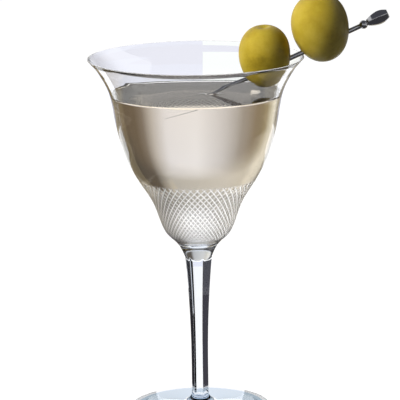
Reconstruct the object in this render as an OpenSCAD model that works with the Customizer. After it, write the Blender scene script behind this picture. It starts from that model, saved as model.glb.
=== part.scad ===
/* [Bowl] */
// Height of the rim above the table
rim_z = 167.7; // [166:0.1:174]
// Outside radius at the rim
rim_r = 50; // [48.5:0.1:52]
// Outside radius under the flared lip, where the wall turns outward
lip_r = 40.3; // [39.5:0.1:41.5]
// Outside radius of the belly, halfway up the drink
belly_r = 36.6; // [34:0.1:38]
// Outside radius where the belly draws in
hip_r = 31.0; // [27:0.1:33]
// Outside radius of the waist between belly and bulb
waist_r = 21.1; // [18.5:0.1:24]
// Outside radius of the small bulb at the bottom
bulb_r = 15.2; // [14:0.1:18]
// Thickness of the glass wall
wall = 1.3; // [0.9:0.05:1.6]
// Height of the lowest point of the hollow above the stem's top
floor_h = 7.4; // [6:0.1:9]

/* [Stem] */
// Height of the stem's top above the table
stem_z = 73.5; // [66:0.5:76]
// Corner radius of the six-sided stem at its slimmest
stem_r = 3.95; // [3:0.05:5]
// Corner radius of the six-sided stem at its top
stem_top_r = 6.35; // [5.5:0.05:7]
// Height of the slimmest place above the table
stem_slim_z = 22; // [14:1:30]
// Turn of the stem's flats round the axis
stem_turn = -11; // [-30:1:30]

/* [Foot] */
// Radius of the round foot
foot_r = 32.7; // [28:0.1:38]
// Thickness of the foot at its edge
foot_edge = 2.4; // [1.6:0.1:3.2]
// Rise of the foot's top from its edge to the stem
foot_rise = 1.9; // [1:0.1:3]
// Radius of the curve that joins foot and stem
foot_fillet = 6; // [4:0.5:9]

/* [Drink] */
// Depth of the liquid's surface below the rim
level_drop = 17.3; // [14:0.1:26]
// Clearance between the drink and what it touches
drink_gap = 0.05; // [0.04:0.01:0.1]

/* [Pick] */
// Radius of the round shaft
pick_r = 1.15; // [0.8:0.05:1.3]
// Climb of the pick above the horizontal
pick_rise = 23.5; // [21:0.5:25]
// Turn of the pick round the glass, from the +X side
pick_turn = 3.8; // [-20:0.2:20]
// Sideways shift of the pick from the glass's axis
pick_shift = 2; // [0:0.5:6]
// Length of the shaft inside the rim
pick_inner = 65; // [58:1:72]
// Length of the point's taper
point_taper = 30; // [12:1:34]
// Length of the shaft outside the rim, up to the collar
pick_outer = 29.8; // [28.5:0.1:34]
// Radius of the collar
collar_r = 2.05; // [1.6:0.05:2.6]
// Length of the collar
collar_l = 3.4; // [2.4:0.1:4.5]
// Length of the faceted bud
bud_l = 11; // [8:0.2:14]
// Corner radius of the bud at its widest
bud_r = 3.45; // [2.8:0.05:4]
// Corner radius of the bud's flat end
bud_end_r = 2.1; // [1.4:0.05:2.6]
// Clearance between the pick and what it rests on or passes through
pick_gap = 0.03; // [0.02:0.01:0.1]

/* [Olives] */
// Room left between an olive and the glass beside it
olive_room = 0.45; // [0.3:0.05:2]
// Height of the lower olive's middle over the pick
lower_lift = 5.7; // [4:0.1:6.5]
// Radius of the lower olive
lower_r = 12.2; // [10:0.1:14]
// Length of the lower olive
lower_l = 29.2; // [24:0.1:32]
// Height of the upper olive's middle over the pick
upper_lift = 7; // [4:0.1:8]
// Radius of the upper olive
upper_r = 13.5; // [11:0.1:15]
// Length of the upper olive
upper_l = 32; // [26:0.1:34]
// Radius of the stalk dimple on an olive
dimple_r = 4.2; // [3:0.1:5]
// Depth of the stalk dimple
dimple_depth = 1.3; // [0.8:0.1:2]

/* [Hidden] */
$fn = 72;

// The rim is a half round as thick as the wall, square to the wall's slant.
lip_bead = wall / 2;

// The bowl's outside passes through these places: [height, radius].
// The last one lies past the bead, which takes the rim to its true radius.
stem_neck_r = 6;
bowl_h = rim_z - stem_z;
level_z = rim_z - level_drop;
past_bead = 1.4 * lip_bead;
stations = [
    [stem_z, stem_neck_r],
    [stem_z + 0.065 * bowl_h, 0.6 * bulb_r],
    [stem_z + 0.135 * bowl_h, bulb_r],
    [stem_z + 0.29 * bowl_h, waist_r],
    [stem_z + 0.46 * bowl_h, hip_r],
    [stem_z + 0.64 * bowl_h, belly_r],
    [stem_z + 0.833 * bowl_h, lip_r],
    [stem_z + 0.945 * bowl_h, lip_r + 0.57 * (rim_r - lip_r)],
    [rim_z, rim_r + past_bead]
];
last_station = len(stations) - 1;

// Slope at a station: the chord between its two neighbours.
function slope(i) =
    let (a = stations[max(i - 1, 0)], b = stations[min(i + 1, last_station)])
    (b[1] - a[1]) / (b[0] - a[0]);

// Cubic curve between station i and the next, at share t of the way.
function span_r(i, t) =
    let (h = stations[i + 1][0] - stations[i][0])
    (2 * pow(t, 3) - 3 * pow(t, 2) + 1) * stations[i][1]
    + (pow(t, 3) - 2 * pow(t, 2) + t) * h * slope(i)
    + (3 * pow(t, 2) - 2 * pow(t, 3)) * stations[i + 1][1]
    + (pow(t, 3) - pow(t, 2)) * h * slope(i + 1);

function span_of(z) = max([for (i = [0:last_station - 1]) if (stations[i][0] <= z) i]);

// Outside radius of the bowl at height z.
function outer_r(z) =
    let (i = span_of(z), t = (z - stations[i][0]) / (stations[i + 1][0] - stations[i][0]))
    span_r(i, t);

function outer_slope(z) = (outer_r(z + 0.01) - outer_r(z - 0.01)) / 0.02;

// Where the wall stops and the bead starts.
lip_slope = outer_slope(rim_z - 2 * lip_bead);
lip_run = sqrt(1 + pow(lip_slope, 2));
lip_z = rim_z - lip_bead * (1 + lip_slope / lip_run);

// A point on the wall at height z, set in by depth square to the surface.
function wall_point(z, depth) =
    let (s = outer_slope(z), run = sqrt(1 + pow(s, 2)))
    [outer_r(z) - depth / run, z + depth * s / run];

wall_steps = 48;
wall_foot_z = stem_z + 4;
wall_heights = [for (i = [0:wall_steps]) wall_foot_z + (lip_z - wall_foot_z) * i / wall_steps];
inner_wall = [for (z = wall_heights) wall_point(z, wall)];
inner_table = [for (p = inner_wall) [p[1], p[0]]];

// Half round of the rim, from outside to inside.
lip_mid = wall_point(lip_z, lip_bead);
lip_angle = atan(outer_slope(lip_z));
lip_arc = [for (a = [20:20:160]) lip_mid + lip_bead * [cos(a - lip_angle), sin(a - lip_angle)]];

// The hollow's floor is a bowl that meets the wall at knee_z.
floor_z = stem_z + floor_h;
knee_rise = 5.5;
knee_z = floor_z + knee_rise;
floor_step = 7.5;

function floor_point(a, gap) =
    let (z = knee_z - knee_rise * cos(a), r = lookup(z, inner_table) * sin(a))
    [max(r - gap * sin(a), 0), z + gap * cos(a)];

function hollow(gap, top) = concat(
    [for (a = [0:floor_step:90 - floor_step]) floor_point(a, gap)],
    [for (p = inner_wall) if (p[1] > knee_z && p[1] < top) [p[0] - gap, p[1]]]
);

// Corner radius of the stem at height z: it swells as a power of the way up, and a little below.
swell_power = 2.1;
lower_swell = 0.05;

function stem_corner(z) =
    let (share = (z - stem_slim_z) / (stem_z - stem_slim_z))
    stem_r + (stem_top_r - stem_r)
        * (share > 0 ? pow(share, swell_power) : lower_swell * pow(share, 2));

// A six-sided column whose corner radius follows outline, a list of [corner radius, height].
module six_sided(outline) {
    flat_share = cos(30);
    width = 4 * max([for (p = outline) p[0]]);
    right = [for (p = outline) [p[0] * flat_share, p[1]]];
    left = [for (i = [len(outline) - 1:-1:0]) [-outline[i][0] * flat_share, outline[i][1]]];
    intersection_for (turn = [30, 90, 150])
        rotate([90, 0, turn])
            translate([0, 0, -width / 2])
                linear_extrude(width)
                    polygon(concat(right, left));
}

module bowl() {
    outside = [for (z = wall_heights) [outer_r(z), z]];
    inside = hollow(0, rim_z);
    neck_steps = 5;
    neck = [for (i = [1:neck_steps - 1])
        let (z = stem_z + (wall_foot_z - stem_z) * i / neck_steps) [outer_r(z), z]];
    rotate_extrude()
        polygon(concat(
            [[0, stem_z - 3], [stem_neck_r - 2, stem_z - 1]],
            neck,
            outside,
            lip_arc,
            [for (i = [len(inside) - 1:-1:0]) inside[i]]
        ));
}

module stem() {
    steps = 16;
    overlap = 0.8;
    rise = stem_z + overlap - foot_edge;
    rotate([0, 0, stem_turn])
        six_sided([for (i = [0:steps])
            let (z = foot_edge + rise * i / steps) [stem_corner(z), z]]);
}

module foot() {
    foot_bevel = 0.5;
    crown_z = foot_edge + foot_rise;
    root_r = stem_r * cos(30) - 0.1;
    arc_mid = [root_r + foot_fillet, crown_z + foot_fillet];
    arc_end = 90 - atan(foot_rise / (foot_r - arc_mid[0]));
    arc = [for (i = [0:8]) let (a = 180 + arc_end * i / 8)
        arc_mid + foot_fillet * [cos(a), sin(a)]];
    edge_arc = [for (a = [75:-30:-75])
        [foot_r - foot_edge / 2 + foot_edge / 2 * cos(a), foot_edge / 2 * (1 + sin(a))]];
    rotate_extrude()
        polygon(concat(
            [[0, arc_mid[1]]],
            arc,
            edge_arc,
            [[foot_r - foot_edge / 2 - foot_bevel, 0], [0, 0]]
        ));
}

module glass() {
    color([0.88, 0.9, 0.95, 0.45])
        union() {
            bowl();
            stem();
            foot();
        }
}

// The pick's line clears the middle of the rim's bead by both radii and the gap.
bead_to_pick = lip_bead + pick_r + pick_gap;
seat_along = sqrt(pow(lip_mid[0], 2) - pow(pick_shift, 2)) - bead_to_pick * sin(pick_rise);
seat_z = lip_mid[1] + bead_to_pick * cos(pick_rise);

// Puts its children on the pick's line: their +Z runs outward, from the place over the rim.
module on_pick() {
    rotate([0, 0, pick_turn])
        translate([seat_along, -pick_shift, seat_z])
            rotate([0, 90 - pick_rise, 0])
                children();
}

module shaft(gap) {
    point_r = pick_r / 8;
    straight = pick_inner - point_taper + pick_outer + collar_l / 2;
    translate([0, 0, point_taper - pick_inner])
        cylinder(h = straight, r = pick_r + gap);
    translate([0, 0, -pick_inner - gap])
        cylinder(h = point_taper + gap, r1 = point_r + gap, r2 = pick_r + gap);
}

module collar() {
    bulge = collar_r - pick_r;
    translate([0, 0, pick_outer])
        rotate_extrude()
            polygon(concat(
                [[0, 0]],
                [for (a = [0:15:180]) [pick_r + bulge * sin(a), collar_l / 2 * (1 - cos(a))]],
                [[0, collar_l]]
            ));
}

module bud() {
    neck_r = 1.35;
    neck_sink = 0.4;
    widest = 0.62;
    turn = 12;
    steps = 10;
    swell = [for (i = [0:steps])
        let (share = i / steps, up = share < widest)
        [up ? neck_r + (bud_r - neck_r) * sin(90 * share / widest)
            : bud_end_r + (bud_r - bud_end_r) * cos(90 * (share - widest) / (1 - widest)),
         bud_l * share]];
    translate([0, 0, pick_outer + collar_l - neck_sink])
        rotate([0, 0, turn])
            six_sided(swell);
}

module pick() {
    color([0.62, 0.62, 0.64])
        on_pick()
            union() {
                shaft(0);
                collar();
                bud();
            }
}

module drink() {
    sides = hollow(drink_gap, level_z);
    surface_r = lookup(level_z, inner_table) - drink_gap;
    color([0.93, 0.91, 0.86, 0.7])
        difference() {
            rotate_extrude()
                polygon(concat(sides, [[surface_r, level_z], [0, level_z]]));
            on_pick()
                shaft(drink_gap);
            lower_flesh(drink_gap);
        }
}

// An olive is a blunt egg, fuller above its middle.
fullness = 0.88;
taper = 0.07;

function olive_point(radius, length, a) =
    [radius * pow(abs(sin(a)), fullness) * sign(sin(a)) * (1 + taper * cos(a)),
     length / 2 * cos(a)];

// Lean of each olive's top, away from the pick's outer end.
lower_lean = -3;
upper_lean = -12;

// A point of an olive's outline, in the upright plane of the pick: [outward, height].
function placed_point(radius, length, lift, lean, along, a) =
    let (p = olive_point(radius, length, a))
    [seat_along + along * cos(pick_rise) - lift * sin(pick_rise)
        + p[0] * cos(lean) + p[1] * sin(lean),
     seat_z + along * sin(pick_rise) + lift * cos(pick_rise)
        - p[0] * sin(lean) + p[1] * cos(lean)];

search_step = 0.05;
side_angles = [3:3:177];
all_angles = [0:3:357];

// The lower olive sits at the outermost place where it clears the inside of the wall.
function wall_room(along) = min([for (a = side_angles)
    let (p = placed_point(lower_r, lower_l, lower_lift, lower_lean, along, a))
    p[1] < lip_z ? lookup(p[1], inner_table) - norm([p[0], pick_shift]) : 2 * lower_r]);
lower_along = min([for (t = [-3 * lower_r:search_step:0]) if (wall_room(t) < olive_room) t])
    - search_step;

// The upper olive sits at the innermost place where it clears the rim's bead.
bead_mid = [sqrt(pow(lip_mid[0], 2) - pow(pick_shift, 2)), lip_mid[1]];
function bead_room(along) = min([for (a = all_angles)
    norm(placed_point(upper_r, upper_l, upper_lift, upper_lean, along, a) - bead_mid) - lip_bead]);
upper_along = max([for (t = [0:search_step:2 * upper_r]) if (bead_room(t) < olive_room) t])
    + search_step;

// An olive about its own middle, with the stalk's dimple on top.
module olive_flesh(radius, length) {
    outline = [for (a = [0:6:180]) olive_point(radius, length, a)];
    dimple_ball = (pow(dimple_r, 2) + pow(dimple_depth, 2)) / (2 * dimple_depth);
    difference() {
        rotate_extrude()
            polygon(outline);
        translate([0, 0, length / 2 - dimple_depth + dimple_ball])
            sphere(dimple_ball);
    }
}

// An olive at a place along the pick, lifted over it and leaning.
module placed_flesh(along, lift, radius, length, lean, roll) {
    on_pick()
        translate([-lift, 0, along])
            rotate([0, pick_rise - 90 + lean, 0])
                rotate([roll, 0, 0])
                    olive_flesh(radius, length);
}

// Each olive's top also rolls a little to the front.
lower_roll = 8;
upper_roll = 12;

module lower_flesh(gap) {
    placed_flesh(lower_along, lower_lift, lower_r + gap, lower_l + 2 * gap, lower_lean, lower_roll);
}

module upper_flesh() {
    placed_flesh(upper_along, upper_lift, upper_r, upper_l, upper_lean, upper_roll);
}

// Pierces its child where the shaft passes.
module pierced(along, length) {
    difference() {
        children();
        on_pick()
            translate([0, 0, along - length])
                cylinder(h = 2 * length, r = pick_r + pick_gap);
    }
}

module olive_lower() {
    color([0.68, 0.6, 0.18])
        pierced(lower_along, lower_l)
            lower_flesh(0);
}

module olive_upper() {
    color([0.68, 0.6, 0.18])
        pierced(upper_along, upper_l)
            upper_flesh();
}

glass();
drink();
pick();
olive_lower();
olive_upper();
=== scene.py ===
"""Builds and lights a served cocktail: a cut stem glass, its drink, and two olives on a pick."""

import logging
import math
from collections.abc import Sequence
from dataclasses import dataclass, field
from enum import Enum

import bpy
import numpy as np
from mathutils import Matrix, Vector


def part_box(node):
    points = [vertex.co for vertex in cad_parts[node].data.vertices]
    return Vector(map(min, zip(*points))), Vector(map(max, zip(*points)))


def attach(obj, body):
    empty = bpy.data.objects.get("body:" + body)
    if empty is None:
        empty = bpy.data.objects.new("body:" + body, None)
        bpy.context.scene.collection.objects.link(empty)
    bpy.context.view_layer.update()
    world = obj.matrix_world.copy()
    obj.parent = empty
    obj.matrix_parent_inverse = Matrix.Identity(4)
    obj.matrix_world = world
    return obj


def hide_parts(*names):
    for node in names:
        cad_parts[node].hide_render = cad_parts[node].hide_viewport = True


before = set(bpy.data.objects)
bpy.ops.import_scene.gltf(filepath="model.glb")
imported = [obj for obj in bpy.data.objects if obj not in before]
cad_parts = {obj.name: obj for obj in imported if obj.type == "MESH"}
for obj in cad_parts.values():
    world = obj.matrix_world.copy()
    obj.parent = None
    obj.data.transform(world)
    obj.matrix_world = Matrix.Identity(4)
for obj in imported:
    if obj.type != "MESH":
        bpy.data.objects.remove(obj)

MM = 0.001
TAU = 2.0 * math.pi
Array = np.ndarray
Colour = tuple[float, float, float]
SIDES = 6
LOG = logging.getLogger("cocktail")


# ---------------------------------------------------------------- surfaces


def wrapped_mesh(name: str, points: Array, crossed: Array | None = None) -> bpy.types.Object:
    """Makes a closed mesh from rings of points that close on themselves.

    Each ring joins the next with quads. The first and last rings are shut by a pole, which is the
    mean of its ring, joined to it by triangles. A renderer splits a quad from its first corner to
    its third, so a crossed quad starts one corner later.

    Args:
        name: The new object's name.
        points: Places in millimetres, shaped (rings, columns, 3), anticlockwise seen from outside
            as the rings run up.
        crossed: Which quads start one corner later, shaped (rings - 1, columns).

    Returns:
        The linked, smooth-shaded object, with its place in its mesh.
    """
    rings, columns, _ = points.shape
    index = np.arange(rings * columns).reshape(rings, columns)
    turned = np.roll(index, -1, axis=1)
    quads = np.stack([index[:-1], turned[:-1], turned[1:], index[1:]], axis=-1).reshape(-1, 4)
    if crossed is not None:
        quads[crossed.ravel()] = np.roll(quads[crossed.ravel()], -1, axis=1)
    places = [points.reshape(-1, 3)]
    loops, sizes = [quads.ravel()], [np.full(len(quads), 4)]
    ends = ((0, turned[0], index[0]), (rings - 1, index[-1], turned[-1]))
    for pole, (ring, one, other) in enumerate(ends, start=rings * columns):
        places.append(points[ring].mean(axis=0)[None])
        loops.append(np.stack([one, other, np.full(columns, pole)], axis=-1).ravel())
        sizes.append(np.full(columns, 3))
    whole = np.concatenate(places) * MM
    return filled_mesh(name, whole, np.concatenate(loops), np.concatenate(sizes))


def filled_mesh(name: str, places: Array, loops: Array, sizes: Array) -> bpy.types.Object:
    """Puts whole arrays of vertices and faces into a new object.

    Args:
        name: The new object's name.
        places: Vertices in metres, shaped (count, 3).
        loops: Vertex numbers of all the faces, one face after another.
        sizes: The number of corners of each face.

    Returns:
        The linked, smooth-shaded object.
    """
    mesh = bpy.data.meshes.new(name)
    mesh.vertices.add(len(places))
    mesh.vertices.foreach_set("co", places.astype(np.float32).ravel())
    mesh.loops.add(len(loops))
    mesh.loops.foreach_set("vertex_index", loops.astype(np.int32))
    mesh.polygons.add(len(sizes))
    starts = np.concatenate([[0], np.cumsum(sizes)[:-1]])
    mesh.polygons.foreach_set("loop_start", starts.astype(np.int32))
    mesh.update(calc_edges=True)
    mesh.validate()
    mesh.shade_smooth()
    thing = bpy.data.objects.new(name, mesh)
    bpy.context.scene.collection.objects.link(thing)
    return thing


def paint(thing: bpy.types.Object, name: str, values: Array) -> None:
    """Stores one number per vertex on a wrapped mesh, with zero at its poles."""
    whole = np.zeros(len(thing.data.vertices), np.float32)
    whole[: values.size] = values.ravel()
    layer = thing.data.attributes.new(name, "FLOAT", "POINT")
    layer.data.foreach_set("value", whole)


def angles_round(columns: int) -> Array:
    """Evenly spaced angles of one turn, in radians."""
    return np.arange(columns) * TAU / columns


def six_sided(corner: Array, angle: Array, turn: float) -> Array:
    """Radius of a six-sided outline.

    The radius is the flat's distance divided by the cosine of the angle from the flat's middle.

    Args:
        corner: Radius at the corners.
        angle: Angle round the axis, in radians.
        turn: Angle of one flat's middle, in radians.

    Returns:
        The radius at each angle.
    """
    side = TAU / SIDES
    off = (angle - turn + side / 2) % side - side / 2
    return corner * math.cos(side / 2) / np.cos(off)


def smooth_step(value: Array, low: float, high: float) -> Array:
    """Rises from 0 at low to 1 at high, level at both ends."""
    share = np.clip((value - low) / (high - low), 0.0, 1.0)
    return share * share * (3.0 - 2.0 * share)


# ---------------------------------------------------------------- materials


class Sketch:
    """A new material's node tree, with short calls to add and join nodes."""

    def __init__(self, name: str) -> None:
        """Starts a material with one Principled shader."""
        self.material = bpy.data.materials.new(name)
        self.material.use_nodes = True
        self.tree = self.material.node_tree
        self.shader = self.tree.nodes["Principled BSDF"]
        self.output = self.tree.nodes["Material Output"]

    def node(self, kind: str, **values: object) -> bpy.types.Node:
        """Adds a node.

        Args:
            kind: The node's type name.
            values: Attributes of the node, or values of its input sockets with _ for a space.

        Returns:
            The new node.
        """
        node = self.tree.nodes.new(kind)
        for key, value in values.items():
            if hasattr(node, key):
                setattr(node, key, value)
            else:
                node.inputs[key.replace("_", " ")].default_value = value
        return node

    def join(self, source: bpy.types.NodeSocket, target: bpy.types.NodeSocket) -> None:
        """Links two sockets."""
        self.tree.links.new(source, target)

    def place(self) -> bpy.types.NodeSocket:
        """The point's place on the object, in metres."""
        return self.node("ShaderNodeTexCoord").outputs["Object"]

    def noise(
        self, scale: float, detail: float, where: bpy.types.NodeSocket
    ) -> bpy.types.NodeSocket:
        """Cloudy noise at a scale in lumps per metre."""
        node = self.node("ShaderNodeTexNoise", Scale=scale, Detail=detail)
        self.join(where, node.inputs["Vector"])
        return node.outputs["Fac"]

    def ramp(
        self, source: bpy.types.NodeSocket, stops: Sequence[tuple[float, Colour]]
    ) -> bpy.types.NodeSocket:
        """Maps a value to colours.

        Args:
            source: The value to map.
            stops: Pairs of place and colour, in rising order.

        Returns:
            The colour socket.
        """
        node = self.node("ShaderNodeValToRGB")
        elements = node.color_ramp.elements
        elements.remove(elements[1])
        elements[0].position, elements[0].color = stops[0][0], (*stops[0][1], 1.0)
        for place, colour in stops[1:]:
            elements.new(place).color = (*colour, 1.0)
        self.join(source, node.inputs["Fac"])
        return node.outputs["Color"]

    def mix(
        self, share: bpy.types.NodeSocket, one: bpy.types.NodeSocket, other: bpy.types.NodeSocket
    ) -> bpy.types.NodeSocket:
        """Blends two colours by a share, on the Mix node's sockets for colours."""
        share_in, one_in, other_in, colour_out = 0, 6, 7, 2
        node = self.node("ShaderNodeMix", data_type="RGBA")
        self.join(share, node.inputs[share_in])
        self.join(one, node.inputs[one_in])
        self.join(other, node.inputs[other_in])
        return node.outputs[colour_out]

    def sum(self, parts: list[tuple[bpy.types.NodeSocket, float]]) -> bpy.types.NodeSocket:
        """Adds values, each times its weight."""
        total = None
        for socket, weight in parts:
            step = self.node("ShaderNodeMath", operation="MULTIPLY_ADD")
            self.join(socket, step.inputs[0])
            step.inputs[1].default_value = weight
            step.inputs[2].default_value = 0.0
            if total is not None:
                self.join(total, step.inputs[2])
            total = step.outputs[0]
        return total

    def bump(self, height: bpy.types.NodeSocket, strength: float, distance: float) -> None:
        """Raises the shader's surface by a height map, distance in metres."""
        node = self.node("ShaderNodeBump", Strength=strength, Distance=distance)
        self.join(height, node.inputs["Height"])
        self.join(node.outputs["Normal"], self.shader.inputs["Normal"])

    def set(self, **values: object) -> None:
        """Sets the shader's own sockets, with _ for a space in a socket's name."""
        for key, value in values.items():
            self.shader.inputs[key.replace("_", " ")].default_value = value

    def absorb(self, colour: Colour, density: float) -> None:
        """Tints light by the depth that it crosses."""
        node = self.node("ShaderNodeVolumeAbsorption", Color=(*colour, 1.0), Density=density)
        self.join(node.outputs["Volume"], self.output.inputs["Volume"])


@dataclass(frozen=True)
class CrystalFinish:
    """Clear polished crystal with the faint waviness of blown glass.

    The attribute frost, from 0 to 1, marks the matt bottoms of the cuts and, faintly, the lip.
    """

    ior: float = 1.5
    tint: Colour = (0.5, 0.68, 0.94)
    density: float = 18.0
    wave_scale: float = 70.0
    wave_detail: float = 1.0
    wave_strength: float = 0.25
    wave_depth: float = 0.00001
    frost_name: str = "frost"
    frost_cover: float = 0.75
    frost_roughness: float = 0.45

    def build(self) -> bpy.types.Material:
        """Makes the material."""
        s = Sketch("crystal")
        s.set(Base_Color=(1.0, 1.0, 1.0, 1.0), Roughness=0.0, IOR=self.ior, Transmission_Weight=1.0)
        s.absorb(self.tint, self.density)
        frost = s.node("ShaderNodeAttribute", attribute_name=self.frost_name).outputs["Fac"]
        clear = s.node("ShaderNodeMapRange", To_Min=1.0, To_Max=1.0 - self.frost_cover)
        s.join(frost, clear.inputs[0])
        s.join(clear.outputs[0], s.shader.inputs["Transmission Weight"])
        matt = s.node("ShaderNodeMapRange", To_Min=0.0, To_Max=self.frost_roughness)
        s.join(frost, matt.inputs[0])
        s.join(matt.outputs[0], s.shader.inputs["Roughness"])
        wave = s.noise(self.wave_scale, self.wave_detail, s.place())
        s.bump(wave, self.wave_strength, self.wave_depth)
        return s.material


@dataclass(frozen=True)
class LiquorFinish:
    """Clear spirit with a touch of straw."""

    ior: float = 1.35
    tint: Colour = (0.952, 0.8, 0.55)
    density: float = 10.0
    wave_scale: float = 45.0
    wave_detail: float = 1.0
    wave_strength: float = 0.2
    wave_depth: float = 0.00001

    def build(self) -> bpy.types.Material:
        """Makes the material."""
        s = Sketch("liquor")
        s.set(Base_Color=(1.0, 1.0, 1.0, 1.0), Roughness=0.0, IOR=self.ior, Transmission_Weight=1.0)
        s.absorb(self.tint, self.density)
        wave = s.noise(self.wave_scale, self.wave_detail, s.place())
        s.bump(wave, self.wave_strength, self.wave_depth)
        return s.material


@dataclass(frozen=True)
class OliveFinish:
    """Brined green olive: mottled flesh, pores, and a moist skin."""

    tones: tuple[tuple[float, Colour], ...] = (
        (0.28, (0.24, 0.17, 0.012)),
        (0.45, (0.44, 0.325, 0.028)),
        (0.72, (0.56, 0.43, 0.055)),
    )
    roughness: float = 0.4
    cloud_scale: float = 85.0
    cloud_detail: float = 3.0
    pore_scale: float = 900.0
    pore_detail: float = 2.0
    pore_tone: float = 0.15
    pore_relief: float = 0.25
    relief_strength: float = 0.35
    relief_depth: float = 0.0002

    def build(self) -> bpy.types.Material:
        """Makes the material."""
        s = Sketch("olive_skin")
        where = s.place()
        cloud = s.noise(self.cloud_scale, self.cloud_detail, where)
        pores = s.noise(self.pore_scale, self.pore_detail, where)
        mottle = s.sum([(cloud, 1.0 - self.pore_tone), (pores, self.pore_tone)])
        s.join(s.ramp(mottle, self.tones), s.shader.inputs["Base Color"])
        s.set(
            Roughness=self.roughness,
            Subsurface_Weight=0.25,
            Subsurface_Radius=(1.0, 0.8, 0.25),
            Subsurface_Scale=0.002,
            Specular_IOR_Level=0.22,
            Coat_Weight=0.06,
            Coat_Roughness=0.3,
            IOR=1.38,
        )
        relief = s.sum([(cloud, 1.0), (pores, self.pore_relief)])
        s.bump(relief, self.relief_strength, self.relief_depth)
        return s.material


@dataclass(frozen=True)
class SteelFinish:
    """Polished stainless steel with hairline polishing marks."""

    colour: Colour = (0.44, 0.44, 0.45)
    hair_tone: float = 0.82
    hair_range: tuple[float, float] = (0.35, 0.65)
    hair_scale: float = 2500.0
    hair_detail: float = 2.0
    hair_strength: float = 0.1
    hair_depth: float = 0.000005
    roughness: float = 0.09

    def build(self) -> bpy.types.Material:
        """Makes the material."""
        s = Sketch("polished_steel")
        hair = s.noise(self.hair_scale, self.hair_detail, s.place())
        dark = tuple(self.hair_tone * c for c in self.colour)
        tone = s.ramp(hair, tuple(zip(self.hair_range, (dark, self.colour), strict=True)))
        s.join(tone, s.shader.inputs["Base Color"])
        s.set(Metallic=1.0, Roughness=self.roughness)
        s.bump(hair, self.hair_strength, self.hair_depth)
        return s.material


@dataclass(frozen=True)
class FloorFinish:
    """Even white sweep that the glass stands on, and that shines by itself."""

    colour: Colour = (0.15, 0.15, 0.15)
    glow: float = 1.0

    def build(self) -> bpy.types.Material:
        """Makes the material."""
        s = Sketch("white_sweep")
        s.set(
            Base_Color=(*self.colour, 1.0),
            Roughness=0.9,
            Specular_IOR_Level=0.1,
            Emission_Color=(1.0, 1.0, 1.0, 1.0),
            Emission_Strength=self.glow,
        )
        return s.material


@dataclass(frozen=True)
class CardFinish:
    """Matt studio card of one tone of painted light or shade, which shines by itself."""

    name: str
    colour: Colour

    def build(self) -> bpy.types.Material:
        """Makes the material."""
        s = Sketch(self.name)
        s.set(
            Base_Color=(0.0, 0.0, 0.0, 1.0),
            Roughness=1.0,
            Specular_IOR_Level=0.0,
            Emission_Color=(*self.colour, 1.0),
            Emission_Strength=1.0,
        )
        return s.material


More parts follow.
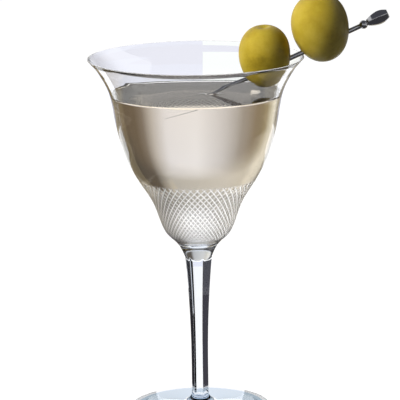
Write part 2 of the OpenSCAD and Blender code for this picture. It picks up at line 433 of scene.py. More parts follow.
@dataclass(frozen=True)
class ScreenFinish:
    """Backdrop of painted light and shade: white light in the middle, brown shade on the right, and
    tan, white light, then dark shade on the left.

    The stops of low and middle run from the screen's left end, at minus its half span, to its
    right end. Low blends into middle over the first rise, and middle into top over the second.
    """

    half_span: float
    # Tones by azimuth: the bright stops are painted light, the dark ones painted shade.
    low: tuple[tuple[float, Colour], ...] = (
        (-110.0, (0.12, 0.11, 0.1)),
        (-53.0, (0.35, 0.33, 0.3)),
        (-47.0, (1.05, 1.02, 0.92)),
        (-41.0, (0.85, 0.83, 0.7)),
        (-34.0, (0.36, 0.3, 0.18)),
        (-25.0, (0.33, 0.27, 0.19)),
        (-17.0, (0.44, 0.41, 0.38)),
        (-9.0, (0.77, 0.78, 0.84)),
        (0.0, (1.04, 1.08, 1.2)),
        (10.0, (0.98, 1.01, 1.12)),
        (16.0, (0.64, 0.62, 0.61)),
        (21.0, (0.28, 0.24, 0.2)),
        (26.0, (0.19, 0.15, 0.105)),
        (50.0, (0.16, 0.125, 0.08)),
        (60.0, (0.5, 0.49, 0.45)),
        (110.0, (0.8, 0.8, 0.78)),
    )
    middle: tuple[tuple[float, Colour], ...] = (
        (-110.0, (0.12, 0.11, 0.1)),
        (-55.0, (0.5, 0.48, 0.44)),
        (-46.0, (1.1, 1.06, 0.95)),
        (-32.0, (1.0, 0.96, 0.86)),
        (-24.0, (0.78, 0.74, 0.65)),
        (-12.0, (0.76, 0.74, 0.7)),
        (0.0, (0.68, 0.67, 0.64)),
        (12.0, (0.58, 0.57, 0.55)),
        (20.0, (0.14, 0.12, 0.1)),
        (50.0, (0.1, 0.085, 0.06)),
        (60.0, (0.5, 0.49, 0.45)),
        (110.0, (0.8, 0.8, 0.78)),
    )
    top: Colour = (1.0, 1.01, 1.03)
    first_rise: tuple[float, float] = (0.17, 0.29)
    second_rise: tuple[float, float] = (0.5, 0.75)

    def across(
        self, s: Sketch, turn: bpy.types.NodeSocket, stops: tuple[tuple[float, Colour], ...]
    ) -> bpy.types.NodeSocket:
        """Maps the azimuth, in radians, to a tone.

        Args:
            s: The material's sketch.
            turn: The azimuth.
            stops: Pairs of azimuth in degrees and tone.

        Returns:
            The tone's socket.
        """
        half = math.radians(self.half_span)
        share = s.node("ShaderNodeMapRange", From_Min=-half, From_Max=half)
        s.join(turn, share.inputs[0])
        return s.ramp(
            share.outputs[0], [((a + self.half_span) / (2 * self.half_span), c) for a, c in stops]
        )

    def build(self) -> bpy.types.Material:
        """Makes the material."""
        s = Sketch("graded_screen")
        split = s.node("ShaderNodeSeparateXYZ")
        s.join(s.place(), split.inputs[0])
        turn = s.node("ShaderNodeMath", operation="ARCTAN2")
        s.join(split.outputs[0], turn.inputs[0])
        s.join(split.outputs[1], turn.inputs[1])
        tone = self.across(s, turn.outputs[0], self.low)
        top = s.node("ShaderNodeRGB")
        top.outputs[0].default_value = (*self.top, 1.0)
        above = (self.across(s, turn.outputs[0], self.middle), top.outputs[0])
        for rise, upper in zip((self.first_rise, self.second_rise), above, strict=True):
            share = s.node("ShaderNodeMapRange", From_Min=rise[0], From_Max=rise[1])
            s.join(split.outputs[2], share.inputs[0])
            tone = s.mix(share.outputs[0], tone, upper)
        s.set(Base_Color=(0.0, 0.0, 0.0, 1.0), Roughness=1.0, Specular_IOR_Level=0.0)
        s.set(Emission_Strength=1.0)
        s.join(tone, s.shader.inputs["Emission Color"])
        return s.material


# ---------------------------------------------------------------- glass


@dataclass
class StemGlass:
    """The cut crystal glass. Sizes are in millimetres, angles in degrees.

    The stations are shares of the way from the stem's top to the rim. The wall's inside and the
    cuts are worked out from start_h above the stem's top, which is below the hollow's floor.
    """

    rim_z: float
    rim_r: float
    foot_r: float
    lip_r: float = 40.3
    belly_r: float = 36.6
    hip_r: float = 31.0
    waist_r: float = 21.1
    bulb_r: float = 15.2
    bulb_start: float = 0.6
    neck_r: float = 6.0
    lip_sweep: float = 0.57
    stations: tuple[float, ...] = (0.0, 0.065, 0.135, 0.29, 0.46, 0.64, 0.833, 0.945, 1.0)
    wall: float = 1.3
    lip_bead: float = 0.27
    bead_reach: float = 1.1
    lip_thinning: float = 38.0
    start_h: float = 4.0
    fine_steps: int = 400
    floor_h: float = 7.4
    knee_rise: float = 5.5
    stem_z: float = 73.5
    stem_r: float = 3.95
    stem_top_r: float = 6.35
    stem_slim_z: float = 22.0
    swell_power: float = 2.1
    lower_swell: float = 0.05
    stem_turn: float = -11.0
    foot_edge: float = 2.4
    foot_rise: float = 1.9
    foot_fillet: float = 6.0
    foot_hollow: float = 0.5
    foot_turn: float = 75.0
    foot_inset: float = 0.5
    curl_steps: int = 12
    cuts_round: int = 54
    samples_per_cut: int = 8
    cut_rows: int = 11
    cut_steps: int = 600
    cut_top_z: float = 112.0
    cut_tallness: float = 1.36
    cut_depth: float = 0.16
    cut_width: float = 0.5
    frost_width: float = 0.42
    lip_frost: float = 0.35
    finish: CrystalFinish = field(default_factory=CrystalFinish)

    def __post_init__(self) -> None:
        """Works out the stations of the outside and the slopes between them."""
        rise = self.rim_z - self.stem_z
        flare = self.rim_r - self.lip_r
        self.heights = self.stem_z + rise * np.array(self.stations)
        self.radii = np.array(
            [
                self.neck_r,
                self.bulb_start * self.bulb_r,
                self.bulb_r,
                self.waist_r,
                self.hip_r,
                self.belly_r,
                self.lip_r,
                self.lip_r + self.lip_sweep * flare,
                self.rim_r + self.bead_reach * self.lip_bead,
            ]
        )
        station = np.arange(len(self.stations))
        before = np.maximum(station - 1, 0)
        after = np.minimum(station + 1, station[-1])
        self.slopes = (self.radii[after] - self.radii[before]) / (
            self.heights[after] - self.heights[before]
        )
        bead = self.lip_bead
        top = self.slope(np.array([self.rim_z - 2 * bead]))[0]
        self.lip_z = self.rim_z - bead * (1 + top / math.hypot(1, top))
        self.lip_mid = self.wall_points(np.array([self.lip_z]), bead)[0]
        self.floor_z = self.stem_z + self.floor_h
        self.knee_z = self.floor_z + self.knee_rise

    def radius(self, z: Array) -> Array:
        """Outside radius of the bowl at height z.

        Between stations the radius is the cubic with the stations' radii and slopes at its ends.
        """
        last = len(self.heights) - 2
        i = np.clip(np.searchsorted(self.heights, z, side="right") - 1, 0, last)
        h = self.heights[i + 1] - self.heights[i]
        t = (z - self.heights[i]) / h
        return (
            (2 * t**3 - 3 * t**2 + 1) * self.radii[i]
            + (t**3 - 2 * t**2 + t) * h * self.slopes[i]
            + (3 * t**2 - 2 * t**3) * self.radii[i + 1]
            + (t**3 - t**2) * h * self.slopes[i + 1]
        )

    def slope(self, z: Array) -> Array:
        """Change of the outside radius with height, over a hundredth of a millimetre each way."""
        step = 0.01
        return (self.radius(z + step) - self.radius(z - step)) / (2 * step)

    def wall_points(self, z: Array, depth: Array | float) -> Array:
        """Radius and height of the places set in by depth, square to the outside at height z."""
        s = self.slope(z)
        run = np.sqrt(1 + s**2)
        return np.stack([self.radius(z) - depth / run, z + depth * s / run], axis=-1)

    def inner_radius(self, z: Array) -> Array:
        """Radius of the wall's inside at height z."""
        path = self.inner_path()
        return np.interp(z, path[:, 1], path[:, 0])

    def inner_path(self) -> Array:
        """The wall's inside as radius and height; the wall thins smoothly towards the lip."""
        z = np.linspace(self.stem_z + self.start_h, self.lip_z, self.fine_steps)
        share = smooth_step(z, self.lip_z - self.lip_thinning, self.lip_z)
        return self.wall_points(z, self.wall + (2 * self.lip_bead - self.wall) * share)

    def hollow(self, reach: float, top: float, floor_steps: int, wall_steps: int) -> Array:
        """The hollow's outline from its lowest point up to height top.

        The floor is a bowl: as an angle goes from 0 to a right angle, the depth below the knee
        falls as its cosine and the radius grows as its sine. Above the knee it is the wall's
        inside.

        Args:
            reach: How far the outline lies outside the true hollow.
            top: Height at which it stops.
            floor_steps: Points in the floor.
            wall_steps: Points in the wall.

        Returns:
            Radius and height, shaped (points, 2).
        """
        first = 0.04
        a = np.linspace(first, math.pi / 2, floor_steps, endpoint=False)
        z = self.knee_z - self.knee_rise * np.cos(a)
        r = self.inner_radius(z) * np.sin(a)
        bowl = np.stack([r + reach * np.sin(a), z - reach * np.cos(a)], axis=-1)
        z = np.linspace(self.knee_z, top, wall_steps)
        side = np.stack([self.inner_radius(z) + reach, z], axis=-1)
        return np.concatenate([bowl, side])

    def stem_corner(self, z: Array) -> Array:
        """Corner radius of the six-sided stem.

        Above its slimmest height it swells as a power of the way up, and below as a square.
        """
        share = (z - self.stem_slim_z) / (self.stem_z - self.stem_slim_z)
        upper = np.maximum(share, 0) ** self.swell_power
        swell = np.where(share > 0, upper, self.lower_swell * share**2)
        return self.stem_r + (self.stem_top_r - self.stem_r) * swell

    def foot_path(self) -> Array:
        """The foot's outline from under its middle, round its edge, to where the stem rises.

        The underside is a shallow parabola, the edge most of a half circle, the top a straight
        slope, and its end an arc that curls up into the stem.
        """
        under_steps, edge_steps, top_steps, overlap = 9, 11, 8, 0.1
        half = self.foot_edge / 2
        flat = np.linspace(self.foot_inset, self.foot_r - half - self.foot_inset, under_steps)
        lift = self.foot_hollow * (1 - (flat / flat[-1]) ** 2)
        a = np.radians(np.linspace(-self.foot_turn, self.foot_turn, edge_steps))
        edge = np.stack([self.foot_r - half + half * np.cos(a), half * (1 + np.sin(a))], axis=-1)
        root = self.stem_r * math.cos(math.pi / SIDES) - overlap
        crown = self.foot_edge + self.foot_rise
        middle = np.array([root + self.foot_fillet, crown + self.foot_fillet])
        last = math.pi / 2 - math.atan(self.foot_rise / (self.foot_r - middle[0]))
        a = math.pi + np.linspace(last, 0, self.curl_steps)
        curl = middle + self.foot_fillet * np.stack([np.cos(a), np.sin(a)], axis=-1)
        share = np.linspace(0, 1, top_steps)[1:-1, None]
        top = edge[-1] * (1 - share) + curl[0] * share
        return np.concatenate([np.stack([flat, lift], axis=-1), edge, top, curl])

    def cut_heights(self) -> tuple[Array, Array]:
        """Heights of the rows of the cut band, and how many diamonds lie above each.

        Each diamond is as tall along the wall as its width times cut_tallness. The rows stand
        where the count of diamonds is a whole number of eighths, so that both families of cuts
        run along the mesh's diagonals.

        Returns:
            The heights, rising, and the counts, falling.
        """
        z = np.linspace(self.cut_top_z, self.stem_z + self.start_h, self.cut_steps)
        width = TAU * self.radius(z) / self.cuts_round
        run = np.sqrt(1 + self.slope(z) ** 2)
        density = run / (width * self.cut_tallness)
        count = np.concatenate([[0], np.cumsum((density[1:] + density[:-1]) / 2 * -np.diff(z))])
        wanted = np.arange(self.cut_rows * self.samples_per_cut + 1) / self.samples_per_cut
        return np.interp(wanted, count, z)[::-1], wanted[::-1]

    def cuts(self, angle: Array, count: Array, width: float) -> Array:
        """Strength of the cuts, from 0 outside them to 1 along their middle lines.

        Two families of grooves cross. In each the strength falls evenly from its middle line to
        its edge, and where they cross the stronger one counts.

        Args:
            angle: Angle round the axis, shaped (1, columns).
            count: Diamonds from the band's top down, shaped (rows, 1).
            width: Width of a groove as a share of the room between two.

        Returns:
            The strength at each point.
        """
        across = angle * self.cuts_round / TAU
        depth = np.zeros(np.broadcast_shapes(across.shape, count.shape))
        for phase in (across + count, across - count):
            away = np.abs(2 * (phase - np.round(phase)))
            depth = np.maximum(depth, 1 - away / width)
        fade_in = smooth_step(count, 0.0, 0.5)
        fade_out = 1 - smooth_step(count, self.cut_rows - 1.0, self.cut_rows)
        return depth * (fade_in * fade_out)

    def outline(self) -> dict[str, Array]:
        """The skin's outline as radius and height, in named stretches from the foot to the floor.

        Returns:
            The stretches, in order along the skin. The stem's radii are only a core, which the
            six-sided outline replaces.
        """
        core_r, stem_gap, neck_sink, neck_drop = 2.0, 1.0, 0.8, 0.55
        stem_steps, neck_steps, upper_steps, bead_steps = 18, 12, 30, 8
        floor_steps, wall_steps = 10, 34
        bead_from, bead_to = 20, 160
        foot = self.foot_path()
        cut_z, _ = self.cut_heights()
        stem_z = np.linspace(foot[-1, 1], self.stem_z - stem_gap, stem_steps)[1:]
        neck_z = np.linspace(self.stem_z, cut_z[0], neck_steps)[:-1]
        neck = np.stack([self.radius(neck_z), neck_z], axis=-1)
        upper_z = np.linspace(cut_z[-1], self.lip_z, upper_steps)[1:]
        tilt = math.atan(self.slope(np.array([self.lip_z]))[0])
        a = np.radians(np.linspace(bead_from, bead_to, bead_steps)) - tilt
        wall_top = self.inner_path()[-1, 1]
        return {
            "foot": foot,
            "stem": np.stack([np.full_like(stem_z, core_r), stem_z], axis=-1),
            "neck": np.concatenate([[[self.neck_r - neck_sink, self.stem_z - neck_drop]], neck]),
            "band": np.stack([self.radius(cut_z), cut_z], axis=-1),
            "upper": np.stack([self.radius(upper_z), upper_z], axis=-1),
            "bead": self.lip_mid + self.lip_bead * np.stack([np.cos(a), np.sin(a)], axis=-1),
            "inside": self.hollow(0.0, wall_top, floor_steps, wall_steps)[::-1],
        }

    def build(self) -> bpy.types.Object:
        """Builds the glass: foot, six-sided stem, cut bowl, beaded rim and hollow in one skin.

        Returns:
            The dressed object.
        """
        stem_overlap = 0.8
        outline = self.outline()
        ends = dict(zip(outline, np.cumsum([len(part) for part in outline.values()]), strict=True))
        band = slice(ends["neck"], ends["band"])
        bead = slice(ends["upper"], ends["bead"])
        path = np.concatenate(list(outline.values()))
        angle = angles_round(self.cuts_round * self.samples_per_cut)[None, :]
        radius = np.repeat(path[:, :1], angle.size, axis=1)
        height = np.repeat(path[:, 1:], angle.size, axis=1)

        corner = self.stem_corner(path[:, 1:])
        sides = six_sided(corner, angle, math.radians(self.stem_turn) - math.pi / 2)
        rows = np.arange(len(path))[:, None]
        on_stem = (rows >= ends["foot"] - self.curl_steps) & (rows < ends["band"])
        on_stem &= path[:, 1:] <= self.stem_z + stem_overlap
        radius = np.where(on_stem, np.maximum(radius, sides), radius)

        cut_z, cut_count = self.cut_heights()
        depth = self.cut_depth * self.cuts(angle, cut_count[:, None], self.cut_width)
        slope = self.slope(cut_z)[:, None]
        run = np.sqrt(1 + slope**2)
        radius[band] -= depth / run
        height[band] += depth * slope / run
        points = np.stack([radius * np.cos(angle), radius * np.sin(angle), height], axis=-1)

        column = np.arange(angle.size)[None, :]
        step = rows[:-1] - band.start
        last = band.stop - band.start - 1
        slanted = (column + 1 + step - last) % self.samples_per_cut == 0
        slanted &= (step >= 0) & (step < last)
        thing = wrapped_mesh("crystal_glass", points, slanted)
        frost = np.zeros(radius.shape)
        frost[band] = self.cuts(angle, cut_count[:, None], self.frost_width)
        frost[bead] = self.lip_frost
        paint(thing, self.finish.frost_name, frost)
        thing.data.materials.append(self.finish.build())
        return thing


# ---------------------------------------------------------------- pick


@dataclass
class PickLine:
    """The line of the pick, which rests on the rim. Sizes are in millimetres, angles in degrees."""

    reach: float = 48.533
    height: float = 168.727
    radius: float = 1.15
    rise: float = 23.5
    turn: float = 3.8
    shift: float = 2.0

    def __post_init__(self) -> None:
        """Works out where the line passes over the rim, and its three directions."""
        rise, turn = math.radians(self.rise), math.radians(self.turn)
        spin = np.array(
            [[math.cos(turn), -math.sin(turn), 0], [math.sin(turn), math.cos(turn), 0], [0, 0, 1]]
        )
        self.seat = spin @ np.array([self.reach, -self.shift, self.height])
        self.out = spin @ np.array([math.cos(rise), 0, math.sin(rise)])
        self.over = spin @ np.array([-math.sin(rise), 0, math.cos(rise)])
        self.side = np.cross(self.over, self.out)

    def at(self, along: float, lift: float = 0.0) -> Array:
        """The place at a distance along the line, lifted square to it."""
        return self.seat + along * self.out + lift * self.over


@dataclass
class CocktailPick:
    """The metal pick: pointed shaft, collar and faceted bud. Sizes are in millimetres.

    The tip's shares are its first two radii, as shares of the shaft's.
    """

    line: PickLine
    inner: float = 65.0
    taper: float = 30.0
    taper_power: float = 2.8
    tip_shares: tuple[float, float] = (1 / 40, 1 / 16)
    outer: float = 29.8
    collar_r: float = 2.05
    collar_l: float = 3.4
    collar_power: float = 0.8
    bud_l: float = 11.0
    bud_r: float = 3.45
    bud_end_r: float = 2.1
    bud_neck_r: float = 1.35
    bud_sink: float = 0.4
    bud_start: float = 0.06
    bud_widest: float = 0.62
    bud_bevel: tuple[float, ...] = (0.97, 0.92, 0.6, 0.2)
    bud_turn: float = 42.0
    columns: int = 72
    finish: SteelFinish = field(default_factory=SteelFinish)

    def build(self) -> bpy.types.Object:
        """Builds the pick as one skin of rings along its line.

        The tip widens as a power of the way along it and the shaft is a cylinder. The collar
        swells as a power of a half sine. The bud is six-sided: it rises as a sine and falls as a
        cosine, with a bevelled flat end.

        Returns:
            The dressed object.
        """
        tip_steps, shaft_steps, collar_steps, bud_steps = 26, 20, 19, 30
        angle = angles_round(self.columns)[None, :]
        full = self.line.radius
        first_r, tip_r = full * self.tip_shares[0], full * self.tip_shares[1]
        tip = np.linspace(-self.inner, self.taper - self.inner, tip_steps)
        share = (tip + self.inner) / self.taper
        tip_rs = tip_r + (full - tip_r) * share**self.taper_power
        shaft = np.linspace(self.taper - self.inner, self.outer, shaft_steps)[1:]
        share = np.linspace(0, 1, collar_steps)
        collar = self.outer + self.collar_l * share
        swell = np.sin(math.pi * share) ** self.collar_power
        collar_rs = full + (self.collar_r - full) * swell
        start = self.outer + self.collar_l - self.bud_sink
        share = np.linspace(self.bud_start, 1, bud_steps)
        rise = np.sin(math.pi / 2 * np.minimum(share / self.bud_widest, 1))
        past = np.maximum((share - self.bud_widest) / (1 - self.bud_widest), 0)
        fall = np.cos(math.pi / 2 * past)
        bud_rs = np.where(
            share < self.bud_widest,
            self.bud_neck_r + (self.bud_r - self.bud_neck_r) * rise,
            self.bud_end_r + (self.bud_r - self.bud_end_r) * fall,
        )
        end_rs = self.bud_end_r * np.array(self.bud_bevel)
        end = np.full(len(end_rs), start + self.bud_l)
        round_t = np.concatenate([[-self.inner], tip, shaft, collar[1:]])
        round_r = np.concatenate([[first_r], tip_rs, np.full(len(shaft), full), collar_rs[1:]])
        flat_t = np.concatenate([start + self.bud_l * share, end])
        flat_r = np.concatenate([bud_rs, end_rs])
        turn = math.radians(self.bud_turn)
        radius = np.concatenate(
            [
                np.repeat(round_r[:, None], self.columns, axis=1),
                six_sided(flat_r[:, None], angle, turn),
            ]
        )
        along = np.concatenate([round_t, flat_t])[:, None, None]
        points = (
            self.line.seat
            + along * self.line.out
            + (radius * np.cos(angle))[..., None] * -self.line.over
            + (radius * np.sin(angle))[..., None] * self.line.side
        )
        thing = wrapped_mesh("cocktail_pick", points[:, ::-1])
        thing.data.materials.append(self.finish.build())
        return thing


# ---------------------------------------------------------------- drink


@dataclass
class Drink:
    """The liquid, up to its meniscus. Sizes are in millimetres."""

    glass: StemGlass
    line: PickLine
    level_z: float
    reach: float = 0.3
    creep: float = 0.7
    creep_length: float = 0.7
    pick_creep: float = 0.4
    pick_creep_length: float = 0.56
    pick_sink: float = 0.9
    ring_power: float = 1.7
    columns: int = 288
    finish: LiquorFinish = field(default_factory=LiquorFinish)

    def surface_height(self, x: Array, y: Array) -> Array:
        """Height of the liquid's surface.

        It is the level, plus a climb at the wall and a climb at the pick, each of which fades
        as an exponential of the distance from what it climbs.
        """
        wall_r = self.glass.inner_radius(np.array([self.level_z]))[0]
        to_wall = np.maximum(wall_r - np.hypot(x, y), 0)
        start = self.line.at((self.level_z - self.line.seat[2]) / self.line.out[2])
        heading = self.line.out[:2] / np.hypot(*self.line.out[:2])
        dx, dy = x - start[0], y - start[1]
        along = (dx * heading[0] + dy * heading[1]) * self.line.out[2]
        across = dy * heading[0] - dx * heading[1]
        to_pick = np.maximum(np.hypot(along, across) - self.line.radius * self.pick_sink, 0)
        return (
            self.level_z
            + self.creep * np.exp(-to_wall / self.creep_length)
            + self.pick_creep * np.exp(-to_pick / self.pick_creep_length)
        )

    def build(self) -> bpy.types.Object:
        """Builds the drink, which reaches just into the glass all round.

        The skirt follows the hollow. The surface is rings that crowd towards the wall.

        Returns:
            The dressed object.
        """
        angle = angles_round(self.columns)[None, :]
        floor_steps, wall_steps, surface_steps = 12, 60, 90
        top_z = self.level_z + self.creep
        side = self.glass.hollow(self.reach, top_z, floor_steps, wall_steps)
        side_r, side_z = side[:, :1], side[:, 1:]
        skirt = [side_r * np.cos(angle), side_r * np.sin(angle), side_z + 0 * angle]
        edge = side[-1, 0]
        share = np.linspace(0, 1, surface_steps) ** self.ring_power
        top_r = (edge * (1 - share))[1:-1, None]
        x, y = top_r * np.cos(angle), top_r * np.sin(angle)
        top = [x, y, self.surface_height(x, y)]
        points = np.concatenate([np.stack(skirt, axis=-1), np.stack(top, axis=-1)])
        thing = wrapped_mesh("liquor", points)
        thing.data.materials.append(self.finish.build())
        return thing


# ---------------------------------------------------------------- olives


@dataclass
class Olive:
    """One olive on the pick. Sizes are in millimetres, angles in degrees."""

    name: str
    line: PickLine
    along: float
    lift: float
    radius: float
    length: float
    lean: float
    roll: float
    fullness: float = 0.88
    taper: float = 0.07
    dimple_r: float = 2.31
    dimple_depth: float = 1.3
    lumps: float = 0.25
    wave_peak: float = 2.2
    columns: int = 144
    rows: int = 120
    finish: OliveFinish = field(default_factory=OliveFinish)

    def build(self) -> bpy.types.Object:
        """Builds the olive as a blunt egg with a stalk's dimple, and stands it on the pick.

        The radius goes as a power of the sine of the polar angle, fuller above the middle. The
        dimple lowers the top by a bell curve. Low waves make it uneven, and only inward.

        Returns:
            The dressed object.
        """
        angle = angles_round(self.columns)[None, :]
        polar = np.linspace(math.pi, 0, self.rows + 2)[1:-1, None]
        radius = self.radius * np.sin(polar) ** self.fullness * (1 + self.taper * np.cos(polar))
        height = self.length / 2 * np.cos(polar) + 0 * angle
        wave = (
            np.sin(2 * angle + 1.3)
            + 0.7 * np.sin(3 * angle + 2.0 + 1.5 * np.cos(polar))
            + 0.5 * np.sin(5 * angle - 2.5 * polar)
        )
        inward = (wave + self.wave_peak) / self.wave_peak
        radius = radius - self.lumps * inward * np.sin(polar)
        bell = np.exp(-((radius / self.dimple_r) ** 2)) * (np.cos(polar) > 0)
        height = height - self.dimple_depth * bell
        local = np.stack([radius * np.cos(angle), radius * np.sin(angle), height], axis=-1)
        pose = (
            Matrix.Rotation(math.radians(self.line.turn), 3, "Z")
            @ Matrix.Rotation(math.radians(self.lean), 3, "Y")
            @ Matrix.Rotation(math.radians(self.roll), 3, "X")
        )
        points = local @ np.array(pose).T + self.line.at(self.along, self.lift)
        thing = wrapped_mesh(self.name, points)
        thing.data.materials.append(self.finish.build())
        return thing


# ---------------------------------------------------------------- studio


def arc_points(start: float, end: float, panels: int) -> Array:
    """Points on a level circle of radius 1, evenly from one azimuth to another.

    Args:
        start: First azimuth in degrees, from straight behind the glass towards the right.
        end: Last azimuth.
        panels: Number of steps between them.

    Returns:
        The points, shaped (panels + 1, 3).
    """
    a = np.radians(np.linspace(start, end, panels + 1))
    return np.column_stack([np.sin(a), np.cos(a), 0 * a])


def strip_mesh(name: str, one: Array, other: Array) -> bpy.types.Object:
    """Joins two rows of points, in metres, by a strip of quads."""
    count = len(one)
    k = np.arange(count - 1)
    loops = np.stack([k, k + 1, k + count + 1, k + count], axis=-1).ravel()
    return filled_mesh(name, np.concatenate([one, other]), loops, np.full(len(k), 4))


@dataclass
class Screen:
    """The curved backdrop of painted light and shade round the rear of the set.

    Sizes are in metres, angles in degrees.
    """

    radius: float = 0.95
    half_span: float = 110.0
    height: float = 1.1
    panels: int = 56

    def build(self) -> bpy.types.Object:
        """Stands the backdrop up; only reflections and refractions see it."""
        arc = arc_points(-self.half_span, self.half_span, self.panels)
        low = arc * self.radius
        thing = strip_mesh("graded_screen", low, low + np.array([0.0, 0.0, self.height]))
        thing.data.materials.append(ScreenFinish(self.half_span).build())
        return hidden_card(thing)


@dataclass
class RingCard:
    """A sector of a ring round the glass. Sizes are in metres, angles in degrees.

    Azimuths count from straight behind the glass towards the right. A card lies level at its
    height, or its far edge is raised by its rise. Where near and far are the same, it is upright.
    """

    name: str
    start: float
    end: float
    near: float
    far: float
    height: float
    colour: Colour
    rise: float = 0.0
    panels: int = 24

    def build(self) -> bpy.types.Object:
        """Sets the card up; only reflections and refractions see it."""
        arc = arc_points(self.start, self.end, self.panels)
        lift = np.array([0.0, 0.0, self.height])
        up = np.array([0.0, 0.0, self.rise])
        thing = strip_mesh(self.name, arc * self.near + lift, arc * self.far + up + lift)
        thing.data.materials.append(CardFinish(self.name, self.colour).build())
        return hidden_card(thing)


def hidden_card(thing: bpy.types.Object) -> bpy.types.Object:
    """Sets a card so that it casts no shadow and neither camera nor matt surfaces see it."""
    thing.visible_camera = False
    thing.visible_shadow = False
    thing.visible_diffuse = False
    return thing


class Lit(Enum):
    """What a lamp lights."""

    ALL = "all"
    GLASS = "glass"


@dataclass
class SoftBox:
    """A square lamp that faces the olives. Sizes are in metres."""

    name: str
    place: tuple[float, float, float]
    size: float
    watts: float
    colour: Colour
    lit: Lit
    aim: tuple[float, float, float] = (0.03, 0.0, 0.15)

    def build(self, glass: bpy.types.Object) -> None:
        """Hangs the lamp, which reflections and refractions do not see.

        Args:
            glass: The object that the lamp lights, where it lights only the glass.
        """
        data = bpy.data.lights.new(self.name, "AREA")
        data.shape, data.size, data.energy = "SQUARE", self.size, self.watts
        data.color = self.colour
        lamp = bpy.data.objects.new(self.name, data)
        lamp.location = self.place
        aim = Vector(self.aim) - Vector(self.place)
        lamp.rotation_euler = aim.to_track_quat("-Z", "Y").to_euler()
        lamp.visible_camera = False
        lamp.visible_transmission = False
        lamp.visible_glossy = False
        bpy.context.scene.collection.objects.link(lamp)
        if self.lit is Lit.GLASS:
            group = bpy.data.collections.new(f"{self.name}_receivers")
            group.objects.link(glass)
            lamp.light_linking.receiver_collection = group


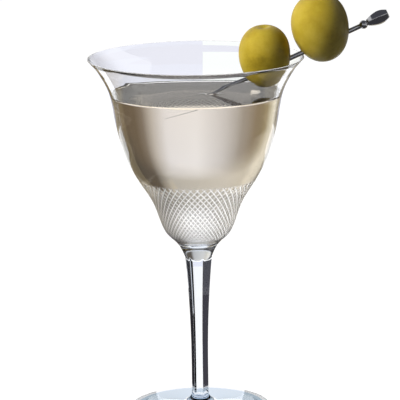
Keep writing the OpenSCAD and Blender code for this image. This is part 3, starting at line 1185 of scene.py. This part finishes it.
@dataclass
class Studio:
    """The floor, the sky of soft light, the cards and the lamps. Sizes are in metres."""

    floor_half: float = 8.0
    sky_low: Colour = (0.8, 0.81, 0.84)
    sky_high: Colour = (0.14, 0.145, 0.17)
    sky_range: tuple[float, float] = (0.1, 0.7)
    sky_seen: float = 0.9
    sky_fill: float = 0.16
    floor: FloorFinish = field(default_factory=FloorFinish)

    def lay_floor(self) -> None:
        """Lays the white sweep."""
        h = self.floor_half
        places = np.array([[-h, -h, 0], [h, -h, 0], [h, h, 0], [-h, h, 0]], float)
        thing = filled_mesh("floor", places, np.arange(4), np.array([4]))
        thing.data.materials.append(self.floor.build())
        thing.visible_diffuse = False

    def hang_sky(self) -> None:
        """Hangs a pale sky that is darker and bluer overhead, and dimmer for matt surfaces."""
        world = bpy.data.worlds.new("soft_sky")
        bpy.context.scene.world = world
        world.use_nodes = True
        tree = world.node_tree
        back = tree.nodes["Background"]
        where = tree.nodes.new("ShaderNodeTexCoord")
        split = tree.nodes.new("ShaderNodeSeparateXYZ")
        ramp = tree.nodes.new("ShaderNodeValToRGB")
        low, high = ramp.color_ramp.elements
        low.position, high.position = self.sky_range
        low.color, high.color = (*self.sky_low, 1.0), (*self.sky_high, 1.0)
        tree.links.new(where.outputs["Generated"], split.inputs["Vector"])
        tree.links.new(split.outputs["Z"], ramp.inputs["Fac"])
        tree.links.new(ramp.outputs["Color"], back.inputs["Color"])
        rays = tree.nodes.new("ShaderNodeLightPath")
        dim = tree.nodes.new("ShaderNodeMapRange")
        dim.inputs["To Min"].default_value = self.sky_seen
        dim.inputs["To Max"].default_value = self.sky_fill
        tree.links.new(rays.outputs["Is Diffuse Ray"], dim.inputs[0])
        tree.links.new(dim.outputs[0], back.inputs["Strength"])

    def stand_cards(self) -> None:
        """Stands the screen and the cards whose tones the glass and the drink show.

        The tones are painted light and shade.
        """
        Screen().build()
        # name, start, end, near, far, height, colour and, where it has one, rise
        cards = (
            RingCard("shade", -18.0, 17.0, 0.05, 0.105, 0.07, (0.1, 0.095, 0.1)),
            RingCard("shade_left", -26.0, -18.0, 0.05, 0.105, 0.07, (0.35, 0.33, 0.3)),
            RingCard("shade_right", 17.0, 25.0, 0.05, 0.105, 0.07, (0.4, 0.37, 0.33)),
            # Painted reflections of pale cards; the patch is painted light in the bowl's empty
            # part.
            RingCard("apron", -40.0, 40.0, 0.45, 0.94, 0.002, (0.91, 0.925, 1.02)),
            RingCard("horizon", -8.0, 8.0, 0.945, 0.945, 0.0, (0.89, 0.895, 0.98), 0.045),
            RingCard("patch", 0.3, 8.0, 0.5, 0.94, 0.004, (1.06, 1.09, 1.07)),
            RingCard("patch_top", 0.3, 8.0, 0.943, 0.943, 0.0, (1.06, 1.09, 1.07), 0.015),
            # Painted shade: dark sectors of the floor to each side, seen only through glass and
            # drink.
            RingCard("painted_shade_floor_left", -115.0, -52.0, 0.036, 0.5, 0.001, (0.06, 0.05, 0.04)),
            RingCard("painted_shade_floor_right", 52.0, 100.0, 0.036, 0.5, 0.001, (0.06, 0.055, 0.05)),
            # Painted reflections: tones for the bowl's edges and for its flared rim.
            RingCard("edge_left", -60.0, -13.0, 0.12, 0.58, 0.003, (0.42, 0.34, 0.2)),
            RingCard("edge_right", 30.0, 72.0, 0.12, 0.58, 0.003, (0.4, 0.34, 0.23)),
            RingCard("edge_pale", 13.0, 30.0, 0.12, 0.58, 0.003, (0.6, 0.55, 0.44)),
            RingCard("flare_left", -60.0, -13.0, 0.58, 0.94, 0.003, (0.62, 0.62, 0.75)),
            RingCard("flare_right", 13.0, 60.0, 0.58, 0.94, 0.003, (0.7, 0.7, 0.8)),
            # Painted light: a bright upright band behind the glass.
            RingCard("bright_back", -50.0, 50.0, 0.2, 0.2, 0.048, (1.6, 1.6, 1.6), 0.035),
            # Painted contact shadow under the foot, seen only through the foot's glass.
            RingCard("painted_foot_shadow", -100.0, 100.0, 0.008, 0.03, 0.0001, (0.55, 0.66, 0.75)),
            # Painted shade: near-black boards and ground cards that darken the stem's sides.
            RingCard("painted_shade_board_right", 24.0, 56.0, 0.055, 0.055, 0.0, (0.01, 0.01, 0.012), 0.066),
            RingCard("painted_shade_board_left", -56.0, -24.0, 0.055, 0.055, 0.0, (0.05, 0.048, 0.06), 0.066),
            RingCard("painted_shade_ground_right", 24.0, 56.0, 0.034, 0.055, 0.0004, (0.01, 0.01, 0.012)),
            RingCard("painted_shade_ground_left", -56.0, -24.0, 0.034, 0.055, 0.0004, (0.05, 0.048, 0.06)),
            # Painted shade: a grey ring that the foot's rounded edge shows as a dark line.
            RingCard("painted_shade_foot_line", -100.0, 100.0, 0.0335, 0.038, 0.0003, (0.3, 0.33, 0.37)),
            # Painted shade: a dark floor in front, which the pick's bud and the glass reflect.
            RingCard("front", 100.0, 245.0, 0.036, 1.5, 0.0005, (0.08, 0.08, 0.09)),
        )
        for card in cards:
            card.build()

    def hang_lamps(self) -> None:
        """Hangs the soft boxes: the main one on the left, and two that pick out the cuts."""
        glass = bpy.data.objects["crystal_glass"]
        warm, white = (1.0, 0.97, 0.92), (1.0, 1.0, 1.0)
        boxes = (
            SoftBox("left_box", (-0.8, -0.45, 0.7), 0.45, 16.0, warm, Lit.ALL),
            SoftBox("cut_box_right", (0.6, -0.8, 0.4), 0.6, 20.0, white, Lit.GLASS),
            SoftBox("cut_box_rear", (-0.2, 0.9, 0.5), 0.6, 20.0, white, Lit.GLASS),
        )
        for box in boxes:
            box.build(glass)

    def build(self) -> None:
        """Sets up the whole studio."""
        self.lay_floor()
        self.hang_sky()
        self.stand_cards()
        self.hang_lamps()
        bpy.context.scene.view_settings.view_transform = "Standard"


@dataclass
class Viewer:
    """The camera: a long lens a little above the rim. Sizes are in metres, angles in degrees."""

    distance: float = 1.3924
    elevation: float = 11.916
    roll: float = 0.797
    aim_x: float = 0.0011
    aim_z: float = 0.1006
    lens_mm: float = 270.0
    sensor_mm: float = 36.0
    clip: tuple[float, float] = (0.01, 50.0)

    def build(self) -> bpy.types.Object:
        """Places the camera in front of the glass and makes it the scene's own."""
        e, r = math.radians(self.elevation), math.radians(self.roll)
        back = Vector((0.0, -math.cos(e), math.sin(e)))
        right = Vector((1.0, 0.0, 0.0))
        up = back.cross(right)
        side = right * math.cos(r) - up * math.sin(r)
        top = up * math.cos(r) + right * math.sin(r)
        place = Vector((self.aim_x, 0.0, self.aim_z)) + back * self.distance
        data = bpy.data.cameras.new("viewer")
        data.lens, data.sensor_width = self.lens_mm, self.sensor_mm
        data.clip_start, data.clip_end = self.clip
        camera = bpy.data.objects.new("viewer", data)
        bpy.context.scene.collection.objects.link(camera)
        turn = Matrix((side, top, back)).transposed().to_4x4()
        camera.matrix_world = Matrix.Translation(place) @ turn
        bpy.context.scene.camera = camera
        return camera


# ---------------------------------------------------------------- the whole


@dataclass
class Cocktail:
    """The served cocktail, with each piece standing for its node. Sizes are in millimetres."""

    rim_z: float
    rim_r: float
    level_z: float
    foot_r: float = 32.7

    @classmethod
    def from_frame(cls) -> "Cocktail":
        """Takes the rim's and the liquid's places from the fixed frame."""
        glass_low, glass_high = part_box("glass")
        _, drink_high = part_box("drink")
        return cls(glass_high.z / MM, (glass_high.x - glass_low.x) / 2 / MM, drink_high.z / MM)

    def build(self) -> None:
        """Builds every piece, hangs it under the root, hides the node it stands for and reports it.
        """
        glass = StemGlass(self.rim_z, self.rim_r, self.foot_r)
        line = PickLine()
        inside = Olive(
            "olive_inside", line, along=-15.8, lift=5.7, radius=12.2, length=29.2, lean=-3, roll=8
        )
        outside = Olive(
            "olive_outside", line, along=12.9, lift=7.0, radius=13.5, length=32.0, lean=-12, roll=12
        )
        pieces = (
            (glass.build(), "glass", "glass"),
            (Drink(glass, line, self.level_z).build(), "drink", "drink"),
            (CocktailPick(line).build(), "pick", "pick"),
            (inside.build(), "olive_lower", "olive"),
            (outside.build(), "olive_upper", "olive"),
        )
        for thing, node, slot in pieces:
            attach(thing, "root")
            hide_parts(node)
            LOG.info("%s stands for %s with %d faces", thing.name, node, len(thing.data.polygons))


def main() -> None:
    """Builds the camera, the cocktail and the studio."""
    logging.basicConfig(level=logging.INFO, format="%(name)s: %(message)s")
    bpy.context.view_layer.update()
    Viewer().build()
    Cocktail.from_frame().build()
    Studio().build()


if __name__ == "__main__":
    main()
